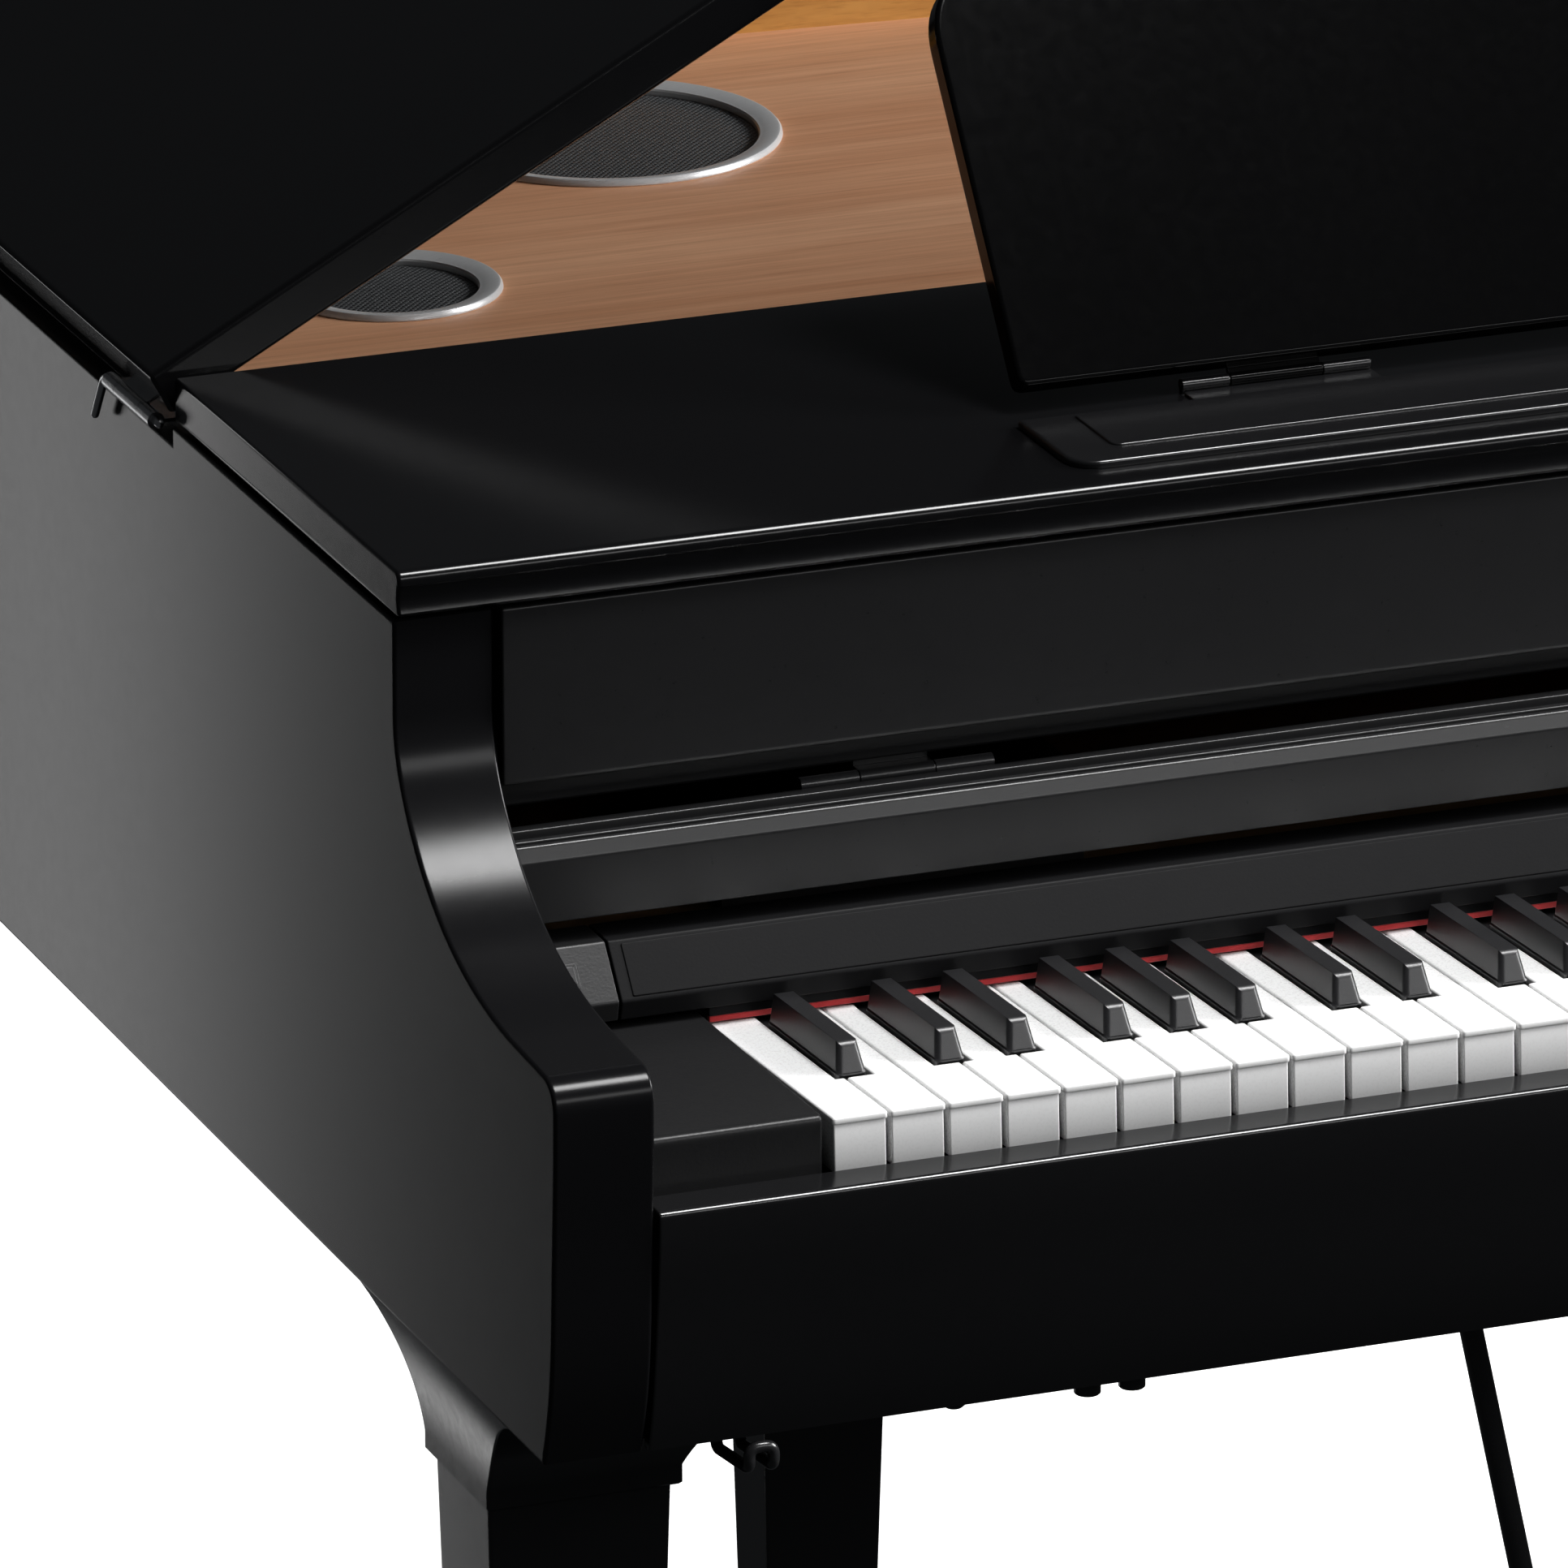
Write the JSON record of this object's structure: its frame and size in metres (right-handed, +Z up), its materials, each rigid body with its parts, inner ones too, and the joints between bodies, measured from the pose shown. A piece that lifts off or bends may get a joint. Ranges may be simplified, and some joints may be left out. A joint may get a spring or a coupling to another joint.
{
  "type": "digital grand piano",
  "caption": "Compact grand-shaped digital piano with hinged lid on a stay, folding key cover, tilting music rest, sprung keys and a pedal lyre.",
  "frame": {"origin": "on the floor, under the middle of the overall box", "axes": "+X from bass to treble along the keyboard, +Y from the player to the tail, +Z up"},
  "size_m": [1.469, 1.237, 1.6301],
  "materials": {
    "piano_black": "polished",
    "satin_black": "satin",
    "board_wood": "matt",
    "veneer": "satin lacquer",
    "ring_metal": "satin",
    "grille_mesh": "matt",
    "hinge_steel": "satin",
    "black_metal": "satin",
    "pedal_brass": "polished",
    "white_key": "satin",
    "black_key": "satin",
    "red_felt": "felt",
    "chassis_plastic": "matt",
    "board_green": "satin",
    "glide_steel": "satin"
  },
  "bodies": {
    "case": {"bar_end_blocks": "satin_black", "bent_rim": "piano_black", "bottom_board": "board_wood", "chassis_screws": "hinge_steel", "cheek_blocks": "satin_black", "circuit_boards": "board_green", "control_bar": "satin_black", "cover_hinge_leaves": "hinge_steel", "cover_rail": "piano_black", "front_beam": "piano_black", "headphone_hanger": "black_metal", "key_bed": "board_wood", "key_felt": "red_felt", "key_frame": "chassis_plastic", "key_slip": "piano_black", "left_side_panel": "piano_black", "leg_capitals": "piano_black", "leg_glides": "glide_steel", "legs": "piano_black", "lid_hinge_pins": "hinge_steel", "lyre_posts": "piano_black", "lyre_stays": "black_metal", "music_ledge": "piano_black", "pedal_box": "piano_black", "pedal_shaft": "hinge_steel", "phones_box": "satin_black", "phones_sockets": "black_metal", "power_supply": "satin_black", "rear_ledge": "veneer", "right_side_panel": "piano_black", "rim_hinge_leaves": "hinge_steel", "socket_panel": "satin_black", "soundboard": "veneer", "speaker_drivers": "satin_black", "speaker_grilles": "grille_mesh", "speaker_rings": "ring_metal", "stay_bracket": "hinge_steel", "top_board": "piano_black"},
    "lid": {"lid_panel": "piano_black", "lid_hinge_leaves": "hinge_steel"},
    "lid_stay": {"lid_stay": "black_metal"},
    "music_rest": {"music_rest": "piano_black"},
    "cover_board": {"cover_board": "satin_black"},
    "cover_flap": {"cover_flap": "piano_black"},
    "left_pedal": {"left_pedal": "pedal_brass"},
    "middle_pedal": {"middle_pedal": "pedal_brass"},
    "right_pedal": {"right_pedal": "pedal_brass"},
    "power_switch": {"power_switch": "satin_black"},
    "black_keys_a_sharp": {"black_keys_a_sharp": "black_key"},
    "black_keys_c_sharp": {"black_keys_c_sharp": "black_key"},
    "black_keys_d_sharp": {"black_keys_d_sharp": "black_key"},
    "black_keys_f_sharp": {"black_keys_f_sharp": "black_key"},
    "black_keys_g_sharp": {"black_keys_g_sharp": "black_key"},
    "white_keys_a": {"white_keys_a": "white_key"},
    "white_keys_b": {"white_keys_b": "white_key"},
    "white_keys_c": {"white_keys_c": "white_key"},
    "white_keys_d": {"white_keys_d": "white_key"},
    "white_keys_e": {"white_keys_e": "white_key"},
    "white_keys_f": {"white_keys_f": "white_key"},
    "white_keys_g": {"white_keys_g": "white_key"}
  },
  "joints": [
    {"name": "lid_hinge", "type": "hinge", "parent": "case", "child": "lid", "pos_m": [-0.7347, 0, 0.912], "axis": [0, 1, 0], "range_deg": [0, 28.6]},
    {"name": "lid_stay_pivot", "type": "hinge", "parent": "case", "child": "lid_stay", "pos_m": [0.0553, -0.1705, 0.872], "axis": [0, 1, 0], "range_deg": [0, 70]},
    {"name": "music_rest_tilt", "type": "hinge", "parent": "case", "child": "music_rest", "pos_m": [0, -0.3565, 0.935], "axis": [-1, 0, 0], "range_deg": [0, 53]},
    {"name": "key_cover_swing", "type": "hinge", "parent": "case", "child": "cover_board", "pos_m": [0, -0.435, 0.8195], "axis": [1, 0, 0], "range_deg": [0, 114]},
    {"name": "key_cover_fold", "type": "hinge", "parent": "cover_board", "child": "cover_flap", "pos_m": [0, -0.4355, 0.911], "axis": [1, 0, 0], "range_deg": [-196, 0]},
    {"name": "left_pedal_press", "type": "hinge", "parent": "case", "child": "left_pedal", "pos_m": [-0.072, -0.3705, 0.084], "axis": [1, 0, 0], "range_deg": [0, 6], "stiffness_Nm_per_rad": 15, "springref_deg": -11.46},
    {"name": "middle_pedal_press", "type": "hinge", "parent": "case", "child": "middle_pedal", "pos_m": [0, -0.3705, 0.084], "axis": [1, 0, 0], "range_deg": [0, 6], "stiffness_Nm_per_rad": 15, "springref_deg": -11.46},
    {"name": "right_pedal_press", "type": "hinge", "parent": "case", "child": "right_pedal", "pos_m": [0.072, -0.3705, 0.084], "axis": [1, 0, 0], "range_deg": [0, 6], "stiffness_Nm_per_rad": 15, "springref_deg": -11.46},
    {"name": "power_switch_push", "type": "slide", "parent": "case", "child": "power_switch", "axis": [0, 0.7747, -0.6324], "range_m": [0, 0.0012], "stiffness_N_per_m": 400, "springref_m": -0.001},
    {"name": "black_keys_a_sharp_press", "type": "hinge", "parent": "case", "child": "black_keys_a_sharp", "pos_m": [0, -0.39785, 0.71403], "axis": [1, 0, 0], "range_deg": [0, 2.87], "stiffness_Nm_per_rad": 4, "springref_deg": -14.32},
    {"name": "black_keys_c_sharp_press", "type": "hinge", "parent": "case", "child": "black_keys_c_sharp", "pos_m": [0, -0.39785, 0.71403], "axis": [1, 0, 0], "range_deg": [0, 2.87], "stiffness_Nm_per_rad": 4, "springref_deg": -14.32},
    {"name": "black_keys_d_sharp_press", "type": "hinge", "parent": "case", "child": "black_keys_d_sharp", "pos_m": [0, -0.39785, 0.71403], "axis": [1, 0, 0], "range_deg": [0, 2.87], "stiffness_Nm_per_rad": 4, "springref_deg": -14.32},
    {"name": "black_keys_f_sharp_press", "type": "hinge", "parent": "case", "child": "black_keys_f_sharp", "pos_m": [0, -0.39785, 0.71403], "axis": [1, 0, 0], "range_deg": [0, 2.87], "stiffness_Nm_per_rad": 4, "springref_deg": -14.32},
    {"name": "black_keys_g_sharp_press", "type": "hinge", "parent": "case", "child": "black_keys_g_sharp", "pos_m": [0, -0.39785, 0.71403], "axis": [1, 0, 0], "range_deg": [0, 2.87], "stiffness_Nm_per_rad": 4, "springref_deg": -14.32},
    {"name": "white_keys_a_press", "type": "hinge", "parent": "case", "child": "white_keys_a", "pos_m": [0, -0.39785, 0.71403], "axis": [1, 0, 0], "range_deg": [0, 2.87], "stiffness_Nm_per_rad": 6, "springref_deg": -14.32},
    {"name": "white_keys_b_press", "type": "hinge", "parent": "case", "child": "white_keys_b", "pos_m": [0, -0.39785, 0.71403], "axis": [1, 0, 0], "range_deg": [0, 2.87], "stiffness_Nm_per_rad": 6, "springref_deg": -14.32},
    {"name": "white_keys_c_press", "type": "hinge", "parent": "case", "child": "white_keys_c", "pos_m": [0, -0.39785, 0.71403], "axis": [1, 0, 0], "range_deg": [0, 2.87], "stiffness_Nm_per_rad": 6, "springref_deg": -14.32},
    {"name": "white_keys_d_press", "type": "hinge", "parent": "case", "child": "white_keys_d", "pos_m": [0, -0.39785, 0.71403], "axis": [1, 0, 0], "range_deg": [0, 2.87], "stiffness_Nm_per_rad": 6, "springref_deg": -14.32},
    {"name": "white_keys_e_press", "type": "hinge", "parent": "case", "child": "white_keys_e", "pos_m": [0, -0.39785, 0.71403], "axis": [1, 0, 0], "range_deg": [0, 2.87], "stiffness_Nm_per_rad": 6, "springref_deg": -14.32},
    {"name": "white_keys_f_press", "type": "hinge", "parent": "case", "child": "white_keys_f", "pos_m": [0, -0.39785, 0.71403], "axis": [1, 0, 0], "range_deg": [0, 2.87], "stiffness_Nm_per_rad": 6, "springref_deg": -14.32},
    {"name": "white_keys_g_press", "type": "hinge", "parent": "case", "child": "white_keys_g", "pos_m": [0, -0.39785, 0.71403], "axis": [1, 0, 0], "range_deg": [0, 2.87], "stiffness_Nm_per_rad": 6, "springref_deg": -14.32}
  ],
  "couplings": [
    {"joint": "lid_stay_pivot", "follows": "lid_hinge", "ratio": 2.447},
    {"joint": "key_cover_fold", "follows": "key_cover_swing", "ratio": -1.719}
  ]
}
